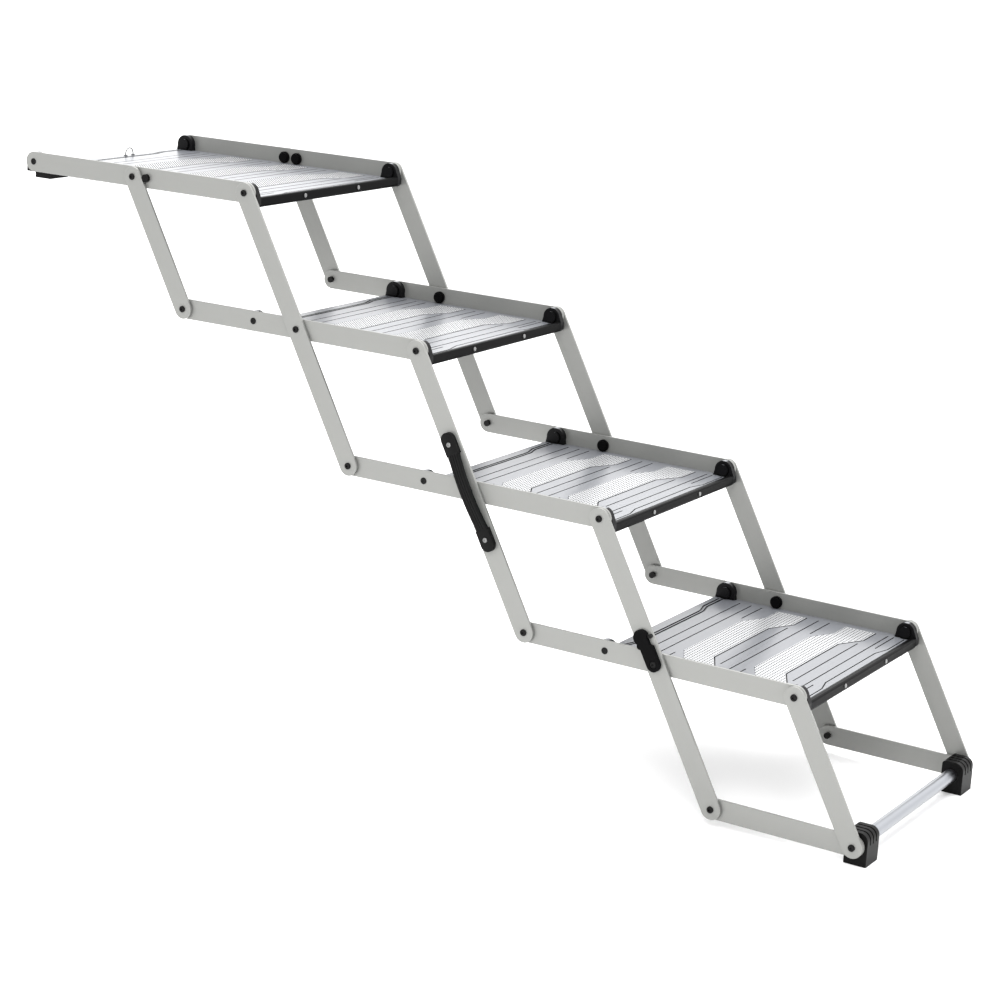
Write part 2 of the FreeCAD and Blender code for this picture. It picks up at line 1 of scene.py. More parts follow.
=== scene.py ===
"""Folding pet stairs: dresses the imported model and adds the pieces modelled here."""
import json
import logging
import math
from dataclasses import dataclass, field
from enum import Enum
from typing import Callable, Iterable

import bpy
from mathutils import Matrix, Vector


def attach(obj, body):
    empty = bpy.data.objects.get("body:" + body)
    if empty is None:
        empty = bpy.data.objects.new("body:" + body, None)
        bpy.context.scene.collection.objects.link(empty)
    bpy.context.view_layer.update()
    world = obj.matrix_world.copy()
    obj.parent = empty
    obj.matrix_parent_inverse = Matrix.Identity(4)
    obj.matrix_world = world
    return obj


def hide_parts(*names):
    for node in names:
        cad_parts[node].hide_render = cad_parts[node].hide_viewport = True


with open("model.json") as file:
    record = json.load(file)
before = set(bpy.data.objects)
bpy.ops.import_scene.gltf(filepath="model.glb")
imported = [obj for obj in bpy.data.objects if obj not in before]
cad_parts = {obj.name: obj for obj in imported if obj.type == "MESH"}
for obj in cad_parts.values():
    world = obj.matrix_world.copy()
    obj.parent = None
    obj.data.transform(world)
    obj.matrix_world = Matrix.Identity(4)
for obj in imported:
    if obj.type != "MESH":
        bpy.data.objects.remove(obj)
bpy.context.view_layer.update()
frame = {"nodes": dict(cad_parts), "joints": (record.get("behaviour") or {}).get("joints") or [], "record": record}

log = logging.getLogger("pet_stairs")

MM = 0.001
LEG_SLOPE = math.radians(61.57)
Colour = tuple[float, float, float]


class Grain(Enum):
    """Which way the fine lines of a surface run."""

    EVEN = "even"
    LEVEL = "level"
    SLOPING = "sloping"


class Tier(Enum):
    """The stacked frames that carry a tread, from the top down."""

    TOP = 0
    HIGH = 1
    MIDDLE = 2
    LOW = 3


# --------------------------------------------------------------------------- helpers


def joint_place(name: str) -> Vector:
    """Looks up where a pivot of the linkage lies.

    Args:
        name: The joint's name.

    Returns:
        The pivot at the middle of the stairs' width, in metres.
    """
    for joint in frame["joints"]:
        if joint["name"] == name:
            return Vector(joint["pos_m"])
    raise KeyError(name)


def deselect_all() -> None:
    """Leaves object mode with nothing selected."""
    if bpy.context.object and bpy.context.object.mode != "OBJECT":
        bpy.ops.object.mode_set(mode="OBJECT")
    bpy.ops.object.select_all(action="DESELECT")
    bpy.context.view_layer.objects.active = None


def pick(piece: bpy.types.Object) -> None:
    """Makes one piece the only selected and the active one.

    Args:
        piece: The piece.
    """
    deselect_all()
    piece.select_set(True)
    bpy.context.view_layer.objects.active = piece


def settle(piece: bpy.types.Object) -> None:
    """Moves a piece's place, turn and scale into its mesh.

    Args:
        piece: The piece.
    """
    pick(piece)
    bpy.ops.object.transform_apply(location=True, rotation=True, scale=True)


def apply_modifiers(piece: bpy.types.Object) -> None:
    """Applies every modifier of a piece in order.

    Args:
        piece: The piece.
    """
    pick(piece)
    for modifier in list(piece.modifiers):
        bpy.ops.object.modifier_apply(modifier=modifier.name)


def join(pieces: list[bpy.types.Object], name: str) -> bpy.types.Object:
    """Joins pieces into one.

    Args:
        pieces: The pieces, of which the first one stays.
        name: The joined piece's name.

    Returns:
        The joined piece.
    """
    pick(pieces[0])
    for piece in pieces[1:]:
        piece.select_set(True)
    bpy.ops.object.join()
    pieces[0].name = name
    return pieces[0]


def copy_of(piece: bpy.types.Object, name: str, shift: Vector) -> bpy.types.Object:
    """Copies a piece with a mesh of its own.

    Args:
        piece: The piece to copy.
        name: The copy's name.
        shift: How far the copy is moved, in metres.

    Returns:
        The copy, with the move already in its mesh.
    """
    twin = piece.copy()
    twin.data = piece.data.copy()
    twin.name = name
    bpy.context.scene.collection.objects.link(twin)
    twin.location = shift
    settle(twin)
    return twin


def select_faces(piece: bpy.types.Object, wanted: Callable[[bpy.types.MeshPolygon], bool]) -> None:
    """Selects the faces that a test accepts, and leaves the piece in edit mode.

    Args:
        piece: The piece, which has to be active.
        wanted: The test, which reads a face's centre and normal.
    """
    bpy.ops.object.mode_set(mode="EDIT")
    bpy.ops.mesh.select_mode(type="FACE")
    bpy.ops.mesh.select_all(action="DESELECT")
    bpy.ops.object.mode_set(mode="OBJECT")
    for face in piece.data.polygons:
        face.select = wanted(face)
    bpy.ops.object.mode_set(mode="EDIT")


# --------------------------------------------------------------------------- finishes


class NodeSheet:
    """A node tree with short ways to add nodes and wires."""

    def __init__(self, tree: bpy.types.NodeTree) -> None:
        """Starts on an empty tree.

        Args:
            tree: The material's or the group's tree.
        """
        self.tree = tree
        self.tree.nodes.clear()

    def add(self, kind: str, values: dict | None = None, **settings: object) -> bpy.types.Node:
        """Adds a node.

        Args:
            kind: The node's type.
            values: Socket values by name or index.
            settings: Properties of the node.

        Returns:
            The node.
        """
        node = self.tree.nodes.new(kind)
        for key, value in settings.items():
            setattr(node, key, value)
        for key, value in (values or {}).items():
            node.inputs[key].default_value = value
        return node

    def wire(self, source: bpy.types.NodeSocket, target: bpy.types.NodeSocket) -> None:
        """Links one socket to another.

        Args:
            source: The output socket.
            target: The input socket.
        """
        self.tree.links.new(source, target)

    def maths(self, operation: str, first: object, second: object) -> bpy.types.NodeSocket:
        """Adds a sum of two sockets or numbers.

        Args:
            operation: The sum's name.
            first: A socket or a number.
            second: A socket or a number.

        Returns:
            The result's socket.
        """
        node = self.add("ShaderNodeMath", operation=operation)
        for target, value in zip(node.inputs, (first, second)):
            if isinstance(value, bpy.types.NodeSocket):
                self.wire(value, target)
            else:
                target.default_value = value
        return node.outputs[0]


def new_group(name: str, inputs: Iterable[tuple[str, str, float]], outputs: Iterable[str]) -> NodeSheet:
    """Starts a shared effect.

    Args:
        name: The group's name.
        inputs: Name, socket type and starting value of each input.
        outputs: Name of each output, all of them plain values.

    Returns:
        The sheet, with its Group Input and Group Output nodes added.
    """
    tree = bpy.data.node_groups.new(name, "ShaderNodeTree")
    sheet = NodeSheet(tree)
    for label, kind, start in inputs:
        socket = tree.interface.new_socket(label, in_out="INPUT", socket_type=kind)
        if kind == "NodeSocketFloat":
            socket.default_value = start
    for label in outputs:
        tree.interface.new_socket(label, in_out="OUTPUT", socket_type="NodeSocketFloat")
    sheet.source = sheet.add("NodeGroupInput")
    sheet.sink = sheet.add("NodeGroupOutput")
    return sheet


class SharedEffects:
    """The node groups that several finishes place in their materials."""

    def __init__(self) -> None:
        """Builds each group once."""
        self.grain = self.build_grain()
        self.wear_and_highlight = self.build_wear_and_highlight()
        self.painted_crevice_shade = self.build_painted_crevice_shade()

    def build_grain(self) -> bpy.types.NodeTree:
        """Builds the fine relief with slow cloudy variation over it.

        Returns:
            The group: Relief feeds a bump's height, Cloud varies colour and roughness.
        """
        sheet = new_group(
            "surface_grain",
            [("Place", "NodeSocketVector", 0.0), ("Fineness", "NodeSocketFloat", 900.0),
             ("Cloud Size", "NodeSocketFloat", 14.0)],
            ["Relief", "Cloud"],
        )
        fine = sheet.add("ShaderNodeTexNoise", {"Detail": 4.0, "Roughness": 0.6})
        slow = sheet.add("ShaderNodeTexNoise", {"Detail": 3.0, "Roughness": 0.55})
        for noise, size in ((fine, "Fineness"), (slow, "Cloud Size")):
            sheet.wire(sheet.source.outputs["Place"], noise.inputs["Vector"])
            sheet.wire(sheet.source.outputs[size], noise.inputs["Scale"])
        sheet.wire(fine.outputs["Fac"], sheet.sink.inputs["Relief"])
        sheet.wire(slow.outputs["Fac"], sheet.sink.inputs["Cloud"])
        return sheet.tree

    def build_wear_and_highlight(self) -> bpy.types.NodeTree:
        """Builds the mask of scuffed edges and corners; on the bars it paints a light edge highlight.

        Returns:
            The group, with one output from 0 on flats to 1 on scuffed, highlit edges.
        """
        sheet = new_group(
            "edge_wear_and_highlight",
            [("Place", "NodeSocketVector", 0.0), ("Width", "NodeSocketFloat", 0.0008),
             ("Patchiness", "NodeSocketFloat", 60.0)],
            ["Mask"],
        )
        rounded = sheet.add("ShaderNodeBevel", samples=4)
        shape = sheet.add("ShaderNodeNewGeometry")
        likeness = sheet.add("ShaderNodeVectorMath", operation="DOT_PRODUCT")
        patches = sheet.add("ShaderNodeTexNoise", {"Detail": 5.0, "Roughness": 0.65})
        sheet.wire(sheet.source.outputs["Width"], rounded.inputs["Radius"])
        sheet.wire(rounded.outputs["Normal"], likeness.inputs[0])
        sheet.wire(shape.outputs["Normal"], likeness.inputs[1])
        sheet.wire(sheet.source.outputs["Place"], patches.inputs["Vector"])
        sheet.wire(sheet.source.outputs["Patchiness"], patches.inputs["Scale"])
        turned = sheet.maths("SUBTRACT", 1.0, likeness.outputs["Value"])
        edge = sheet.add("ShaderNodeMapRange", {"From Min": 0.02, "From Max": 0.25})
        spots = sheet.add("ShaderNodeMapRange", {"From Min": 0.38, "From Max": 0.62})
        sheet.wire(turned, edge.inputs["Value"])
        sheet.wire(patches.outputs["Fac"], spots.inputs["Value"])
        sheet.wire(sheet.maths("MULTIPLY", edge.outputs[0], spots.outputs[0]), sheet.sink.inputs["Mask"])
        return sheet.tree

    def build_painted_crevice_shade(self) -> bpy.types.NodeTree:
        """Builds the mask of narrow channels from ambient occlusion, used to paint shade into them.

        Returns:
            The group, with one output from 0 in the open to 1 deep in a channel.
        """
        sheet = new_group("painted_crevice_shade", [("Reach", "NodeSocketFloat", 0.003)], ["Mask"])
        open_sky = sheet.add("ShaderNodeAmbientOcclusion", samples=8, only_local=True)
        sheet.wire(sheet.source.outputs["Reach"], open_sky.inputs["Distance"])
        mask = sheet.add("ShaderNodeMapRange", {"From Min": 0.96, "From Max": 0.75})
        sheet.wire(open_sky.outputs["AO"], mask.inputs["Value"])
        sheet.wire(mask.outputs[0], sheet.sink.inputs["Mask"])
        return sheet.tree


@dataclass(frozen=True)
class Finish:
    """One surface finish: its colour, gloss, grain and edge scuffing, with the painted light some finishes carry:
    edge highlights, channel shade, a lighter top sheen.
    """

    name: str
    colour: Colour
    worn_and_highlight_colour: Colour
    roughness: float
    metallic: float = 0.0
    coat: float = 0.0
    coat_roughness: float = 0.1
    coat_ior: float = 1.5
    top_coat: bool = False
    specular: float = 0.5
    ior: float = 1.5
    wear_and_highlight: float = 0.4
    wear_and_highlight_width: float = 0.0008
    cloud: float = 0.06
    rough_cloud: float = 0.12
    fineness: float = 900.0
    relief: float = 0.15
    relief_depth: float = 0.0001
    grain: Grain = Grain.EVEN
    painted_crevice_shade: float = 0.0
    colour_without_painted_sheen: Colour | None = None

    def place(self, sheet: NodeSheet) -> bpy.types.NodeSocket:
        """Turns and stretches the object's coordinates along the grain.

        Args:
            sheet: The material's sheet.

        Returns:
            The coordinates that the grain reads.
        """
        where = sheet.add("ShaderNodeTexCoord")
        if self.grain is Grain.EVEN:
            return where.outputs["Object"]
        turn = LEG_SLOPE if self.grain is Grain.SLOPING else 0.0
        level = sheet.add("ShaderNodeMapping", {"Rotation": (0.0, -turn, 0.0)})
        stretch = sheet.add("ShaderNodeMapping", {"Scale": (0.03, 1.0, 1.0)})
        sheet.wire(where.outputs["Object"], level.inputs["Vector"])
        sheet.wire(level.outputs["Vector"], stretch.inputs["Vector"])
        return stretch.outputs["Vector"]

    def material(self, effects: SharedEffects) -> bpy.types.Material:
        """Builds the material.

        Args:
            effects: The shared node groups.

        Returns:
            The material.
        """
        material = bpy.data.materials.new(self.name)
        material.use_nodes = True
        sheet = NodeSheet(material.node_tree)
        surface = sheet.add("ShaderNodeBsdfPrincipled", {
            "Metallic": self.metallic, "Coat Weight": self.coat, "Coat Roughness": self.coat_roughness,
            "Coat IOR": self.coat_ior, "Specular IOR Level": self.specular, "IOR": self.ior})
        output = sheet.add("ShaderNodeOutputMaterial")
        sheet.wire(surface.outputs["BSDF"], output.inputs["Surface"])
        place = self.place(sheet)
        grain = sheet.add("ShaderNodeGroup", node_tree=effects.grain)
        grain.inputs["Fineness"].default_value = self.fineness
        sheet.wire(place, grain.inputs["Place"])
        wear_and_highlight = sheet.add("ShaderNodeGroup", node_tree=effects.wear_and_highlight)
        wear_and_highlight.inputs["Width"].default_value = self.wear_and_highlight_width
        sheet.wire(place, wear_and_highlight.inputs["Place"])
        crevice_shade_mask = None
        if self.painted_crevice_shade:
            channels = sheet.add("ShaderNodeGroup", node_tree=effects.painted_crevice_shade)
            channels.inputs["Reach"].default_value = self.painted_crevice_shade
            crevice_shade_mask = channels.outputs["Mask"]
        self.colour_nodes(sheet, surface, grain, wear_and_highlight, crevice_shade_mask)
        self.gloss_nodes(sheet, surface, grain, crevice_shade_mask)
        return material

    def upward(self, sheet: NodeSheet, most: float) -> bpy.types.NodeSocket:
        """Adds the mask of faces that look straight up the piece.

        Args:
            sheet: The material's sheet.
            most: The mask's value on them.

        Returns:
            The mask's socket.
        """
        where = sheet.add("ShaderNodeTexCoord")
        parts = sheet.add("ShaderNodeSeparateXYZ")
        mask = sheet.add("ShaderNodeMapRange", {"From Min": 0.95, "From Max": 0.99, "To Max": most})
        sheet.wire(where.outputs["Normal"], parts.inputs[0])
        sheet.wire(parts.outputs["Z"], mask.inputs["Value"])
        return mask.outputs[0]

    def colour_nodes(self, sheet: NodeSheet, surface: bpy.types.Node, grain: bpy.types.Node,
                     wear_and_highlight: bpy.types.Node, crevice_shade_mask: bpy.types.NodeSocket | None) -> None:
        """Wires the base colour: clouds over the plain colour, then scuffed edges that are a painted highlight on the
        bars, a painted lighter sheen on upward faces, and painted shade in narrow channels.

        Args:
            sheet: The material's sheet.
            surface: The shader.
            grain: The placed grain group.
            wear_and_highlight: The placed group of edge scuffing, which on the bars paints a highlight.
            crevice_shade_mask: The mask of narrow channels, where shade is painted, if the finish has any.
        """
        light = tuple(min(1.0, part * (1.0 + self.cloud)) for part in self.colour)
        dark = tuple(part * (1.0 - self.cloud) for part in self.colour)
        clouds = sheet.add("ShaderNodeMix", {6: (*dark, 1.0), 7: (*light, 1.0)}, data_type="RGBA")
        sheet.wire(grain.outputs["Cloud"], clouds.inputs["Factor"])
        # Scuffed edges take the light edge colour; on the bars this is a painted highlight along the edges.
        rubbed_and_highlit = sheet.add("ShaderNodeMix", {7: (*self.worn_and_highlight_colour, 1.0)}, data_type="RGBA")
        sheet.wire(sheet.maths("MULTIPLY", wear_and_highlight.outputs["Mask"], self.wear_and_highlight), rubbed_and_highlit.inputs["Factor"])
        sheet.wire(clouds.outputs[2], rubbed_and_highlit.inputs[6])
        colour = rubbed_and_highlit.outputs[2]
        # Painted sheen: upward faces keep the lighter colour, all other faces take the moulding's own black.
        if self.colour_without_painted_sheen:
            painted_top_sheen = sheet.add("ShaderNodeMix", {6: (*self.colour_without_painted_sheen, 1.0)}, data_type="RGBA")
            sheet.wire(self.upward(sheet, 1.0), painted_top_sheen.inputs["Factor"])
            sheet.wire(colour, painted_top_sheen.inputs[7])
            colour = painted_top_sheen.outputs[2]
        # Painted shade: narrow channels are darkened to near-black by the ambient occlusion mask.
        if crevice_shade_mask:
            painted_crevice_dark = sheet.add("ShaderNodeMix", {7: (0.002, 0.002, 0.002, 1.0)}, data_type="RGBA")
            sheet.wire(crevice_shade_mask, painted_crevice_dark.inputs["Factor"])
            sheet.wire(colour, painted_crevice_dark.inputs[6])
            colour = painted_crevice_dark.outputs[2]
        sheet.wire(colour, surface.inputs["Base Color"])

    def gloss_nodes(self, sheet: NodeSheet, surface: bpy.types.Node, grain: bpy.types.Node,
                    crevice_shade_mask: bpy.types.NodeSocket | None) -> None:
        """Wires the roughness, the bump and the coat of upward faces.

        Args:
            sheet: The material's sheet.
            surface: The shader.
            grain: The placed grain group.
            crevice_shade_mask: The mask of narrow channels, if the finish has any.
        """
        swing = self.roughness * self.rough_cloud
        spread = sheet.add("ShaderNodeMapRange", {"To Min": self.roughness - swing, "To Max": self.roughness + swing})
        sheet.wire(grain.outputs["Cloud"], spread.inputs["Value"])
        sheet.wire(spread.outputs[0], surface.inputs["Roughness"])
        bump = sheet.add("ShaderNodeBump", {"Strength": self.relief, "Distance": self.relief_depth})
        sheet.wire(grain.outputs["Relief"], bump.inputs["Height"])
        sheet.wire(bump.outputs["Normal"], surface.inputs["Normal"])
        if self.top_coat:
            weight = self.upward(sheet, self.coat)
            if crevice_shade_mask:
                weight = sheet.maths("MULTIPLY", weight, sheet.maths("SUBTRACT", 1.0, crevice_shade_mask))
            sheet.wire(weight, surface.inputs["Coat Weight"])


# The bars' light edge colour, large amount and wide reach paint a highlight along their edges.
BAR_LEVEL = Finish("anodised_bar_level", (0.246, 0.248, 0.238), (0.62, 0.62, 0.6), 0.4, metallic=0.35,
                   specular=0.3, grain=Grain.LEVEL, fineness=1400.0, relief=0.35, cloud=0.05, wear_and_highlight=0.7,
                   wear_and_highlight_width=0.0012)
BAR_SLOPING = Finish("anodised_bar_sloping", (0.246, 0.248, 0.238), (0.62, 0.62, 0.6), 0.4, metallic=0.35,
                     specular=0.3, grain=Grain.SLOPING, fineness=1400.0, relief=0.35, cloud=0.05, wear_and_highlight=0.7,
                     wear_and_highlight_width=0.0012)
TUBE = Finish("bright_tube", (0.27, 0.28, 0.30), (0.5, 0.5, 0.5), 0.3, metallic=1.0, fineness=1200.0,
              relief=0.08)
# Over the tread's black moulding, the grey of upward faces is a painted sheen, and the channel reach paints shade
# into the grooves.
TREAD = Finish("tread_moulding", (0.14, 0.146, 0.16), (0.22, 0.22, 0.23), 0.4, specular=0.1, coat=0.5,
               coat_roughness=0.22, coat_ior=1.8, fineness=500.0, relief=0.06, wear_and_highlight=0.1, top_coat=True,
               painted_crevice_shade=0.003, colour_without_painted_sheen=(0.004, 0.004, 0.0045))
BAND_PAD = Finish("tread_band_pad", (0.36, 0.365, 0.375), (0.4, 0.4, 0.4), 0.35, specular=0.5, fineness=900.0,
                  relief=0.2, coat=0.4, coat_roughness=0.2, top_coat=True)
NUB = Finish("tread_nubs", (0.004, 0.004, 0.005), (0.03, 0.03, 0.03), 0.35, specular=0.3, fineness=500.0,
             relief=0.06, wear_and_highlight=0.3)
BLACK = Finish("black_moulding", (0.003, 0.003, 0.0032), (0.014, 0.014, 0.014), 0.34, ior=1.1,
               fineness=1100.0, relief=0.25)
STRAP = Finish("strap_rubber", (0.005, 0.005, 0.005), (0.02, 0.02, 0.02), 0.45, ior=1.17, fineness=1500.0,
               relief=0.35)
WASHER = Finish("washer_plastic", (0.006, 0.006, 0.006), (0.03, 0.03, 0.03), 0.5, specular=0.1, fineness=1500.0)
RUBBER = Finish("grip_rubber", (0.004, 0.004, 0.004), (0.02, 0.02, 0.02), 0.42, ior=1.17, fineness=800.0,
                relief=0.35)
BLACK_STEEL = Finish("black_oxide_steel", (0.006, 0.006, 0.006), (0.06, 0.06, 0.06), 0.35, metallic=0.5,
                     specular=0.2, fineness=1600.0, relief=0.1, wear_and_highlight=0.25, wear_and_highlight_width=0.0004)
BRIGHT_STEEL = Finish("polished_steel", (0.2, 0.2, 0.2), (0.4, 0.4, 0.4), 0.3, metallic=1.0, fineness=1600.0,
                      relief=0.05)

FINISH_OF_SLOT = {
    "bar_metal": BAR_LEVEL, "tube_metal": TUBE, "tread_plastic": TREAD, "black_plastic": BLACK,
    "handle_plastic": STRAP, "washer_plastic": WASHER, "grip_rubber": RUBBER, "black_steel": BLACK_STEEL,
    "bright_steel": BRIGHT_STEEL,
}


class FinishBook:
    """Every finish made once, and the dressing of pieces with them."""

    def __init__(self) -> None:
        """Starts with the shared effects and no materials."""
        self.effects = SharedEffects()
        self.made: dict[str, bpy.types.Material] = {}

    def material(self, finish: Finish) -> bpy.types.Material:
        """Gives a finish's material, made the first time it is asked for.

        Args:
            finish: The finish.

        Returns:
            Its material.
        """
        if finish.name not in self.made:
            self.made[finish.name] = finish.material(self.effects)
        return self.made[finish.name]

    def dress(self, piece: bpy.types.Object, finish: Finish) -> None:
        """Puts a finish all over a piece.

        Args:
            piece: The piece, new or carried over from CAD.
            finish: The finish.
        """
        if not piece.material_slots:
            piece.data.materials.append(None)
        for place in piece.material_slots:
            place.material = self.material(finish)

    def dress_frame(self) -> None:
        """Dresses every node that is carried over as it stands."""
        slot_of = {entry["node"]: entry["material_slot"] for entry in frame["record"]["subparts"]}
        for name, node in frame["nodes"].items():
            finish = FINISH_OF_SLOT[slot_of[name]]
            if name.startswith("leg") and finish is BAR_LEVEL:
                finish = BAR_SLOPING
            self.dress(node, finish)
            log.info("dressed %s as %s", name, finish.name)


def hand_over(piece: bpy.types.Object, body: str, replaced: Iterable[str] = ()) -> None:
    """Args:
        piece: The finished piece.
        body: The body it rides on.
        replaced: The CAD nodes it stands for.
    """
    settle(piece)
    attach(piece, body)
    if replaced:
        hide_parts(*replaced)
    log.info("made %s on %s", piece.name, body)


# --------------------------------------------------------------------------- sub-assemblies


@dataclass
class GripBands:
    """Bands of small raised nubs across a tread, which follow its stepped channels."""

    pitch: float = 5.0 * MM
    row_pitch: float = 5.25 * MM
    rows: int = 9
    base_radius: float = 1.15 * MM
    top_radius: float = 0.7 * MM
    height: float = 0.9 * MM
    pad_height: float = 0.3 * MM
    pad_margin: float = 2.3 * MM
    pad_rim: float = 0.12 * MM
    straight_reach: float = 86 * MM
    bent_reach: float = 126 * MM
    far_reach: float = 167 * MM
    step: float = 21 * MM
    first_row: float = -66.5 * MM
    period: float = 110.3 * MM
    deck_top: float = -9.3 * MM

    def nub(self, place: Vector) -> bpy.types.Object:
        """Makes one six-sided nub with a softened top.

        Args:
            place: The middle of its foot.

        Returns:
            The nub.
        """
        deselect_all()
        bpy.ops.mesh.primitive_cone_add(vertices=6, radius1=self.base_radius, radius2=self.top_radius,
                                        depth=self.height, end_fill_type="NGON",
                                        location=place + Vector((0, 0, self.height / 2)))
        nub = bpy.context.object
        settle(nub)
        select_faces(nub, lambda face: face.normal.z < -0.9)
        bpy.ops.mesh.delete(type="FACE")
        bpy.ops.object.mode_set(mode="OBJECT")
        return nub

    def patch(self, place: Vector, columns: int, column_step: Vector) -> bpy.types.Object:
        """Repeats a nub into rows and columns.

        Args:
            place: The first nub's foot.
            columns: How many columns there are.
            column_step: From one column to the next.

        Returns:
            The patch as one piece.
        """
        nub = self.nub(place)
        for count, step in ((self.rows, Vector((-self.row_pitch, 0, 0))), (columns, column_step)):
            array = nub.modifiers.new("repeat", "ARRAY")
            array.use_relative_offset = False
            array.use_constant_offset = True
            array.constant_offset_displace = step
            array.count = count
        apply_modifiers(nub)
        return nub

    def band(self, front: Vector) -> bpy.types.Object:
        """Makes one band on an even grid, whose outline steps forward towards both ends.

        Args:
            front: The middle of the band's first row, on the tread's top.

        Returns:
            The band as one piece.
        """
        across = Vector((0, self.pitch, 0))
        half = int(self.straight_reach / self.pitch) + 1
        patches = [self.patch(front - across * half, 2 * half + 1, across)]
        steps = round(self.step / self.row_pitch)
        columns = round((self.bent_reach - self.straight_reach) / steps / self.pitch)
        reach = half
        for shift in range(1, steps + 1):
            count = columns if shift < steps else int(self.far_reach / self.pitch) - reach
            for side in (-1, 1):
                corner = front + Vector((shift * self.row_pitch, side * (reach + 1) * self.pitch, 0))
                patches.append(self.patch(corner, count, across * side))
            reach += columns
        return join(patches, "band")

    def pad(self, front: Vector) -> bpy.types.Object:
        """Makes the low plinth under one band, stepped like it.

        Args:
            front: The middle of the band's first row, on the tread's top.

        Returns:
            The plinth.
        """
        depth = (self.rows - 1) * self.row_pitch + 2 * self.pad_margin
        width = 2 * (self.far_reach + self.pad_margin)
        middle = front + Vector((self.pad_margin - depth / 2, 0, self.pad_height / 2))
        deselect_all()
        bpy.ops.mesh.primitive_plane_add(size=1, location=middle)
        pad = bpy.context.object
        pad.scale = (depth, width, 1)
        settle(pad)
        for reach in (self.straight_reach, self.bent_reach):
            for side in (-1, 1):
                bpy.ops.object.mode_set(mode="EDIT")
                bpy.ops.mesh.select_all(action="SELECT")
                bpy.ops.mesh.bisect(plane_co=front + Vector((0, side * reach, 0)), plane_no=(0, 1, 0))
                bpy.ops.object.mode_set(mode="OBJECT")
        bpy.ops.object.mode_set(mode="EDIT")
        bpy.ops.mesh.select_mode(type="VERT")
        bpy.ops.mesh.select_all(action="DESELECT")
        bpy.ops.object.mode_set(mode="OBJECT")
        for corner in pad.data.vertices:
            corner.select = abs(corner.co.y - front.y) > self.bent_reach - MM
        bpy.ops.object.mode_set(mode="EDIT")
        bpy.ops.transform.translate(value=(self.step, 0, 0))
        bpy.ops.object.mode_set(mode="OBJECT")
        wall = pad.modifiers.new("wall", "SOLIDIFY")
        wall.thickness = self.pad_height
        wall.offset = 0.0
        rim = pad.modifiers.new("rim", "BEVEL")
        rim.width = self.pad_rim
        rim.segments = 1
        apply_modifiers(pad)
        return pad

    def repeated(self, make: Callable[[Vector], bpy.types.Object], front: Vector, bands: int,
                 name: str) -> bpy.types.Object:
        """Makes one band's worth and copies it rearwards.

        Args:
            make: Makes the first one from the place of its front.
            front: That place.
            bands: How many there are.
            name: The joined piece's name.

        Returns:
            The joined piece.
        """
        first = make(front)
        copies = [copy_of(first, "band", Vector((-self.period * k, 0, 0))) for k in range(1, bands)]
        return join([first] + copies, name)

    def build(self, tier: Tier, pivot: Vector, bands: int) -> tuple[bpy.types.Object, bpy.types.Object]:
        """Makes all the bands of one tread.

        Args:
            tier: The tread's tier.
            pivot: The tread's front pivot.
            bands: How many bands there are.

        Returns:
            The plinths and the nubs.
        """
        front = pivot + Vector((self.first_row, 0, self.deck_top))
        pads = self.repeated(self.pad, front, bands, f"tier{tier.value}_grip_pads")
        nubs = self.repeated(self.band, front, bands, f"tier{tier.value}_grip_nubs")
        return pads, nubs


@dataclass
class Treads:
    """The four treads' added surface detail."""

    bodies: dict[Tier, str] = field(default_factory=lambda: {
        Tier.TOP: "top_tread", Tier.HIGH: "high_tread", Tier.MIDDLE: "middle_tread", Tier.LOW: "low_tread"})
    front_joints: dict[Tier, str] = field(default_factory=lambda: {
        Tier.TOP: "top_tread_on_legs_2", Tier.HIGH: "high_tread_on_legs_3",
        Tier.MIDDLE: "middle_tread_on_legs_4", Tier.LOW: "low_tread_on_legs_5"})

    def build(self, finishes: FinishBook) -> None:
        """Makes and dresses the grip bands of every tread.

        Args:
            finishes: The finishes to dress them with.
        """
        bands = GripBands()
        for tier, body in self.bodies.items():
            pivot = joint_place(self.front_joints[tier])
            pads, nubs = bands.build(tier, pivot, 3 if tier is Tier.TOP else 2)
            for piece, finish in ((pads, BAND_PAD), (nubs, NUB)):
                finishes.dress(piece, finish)
                hand_over(piece, body)


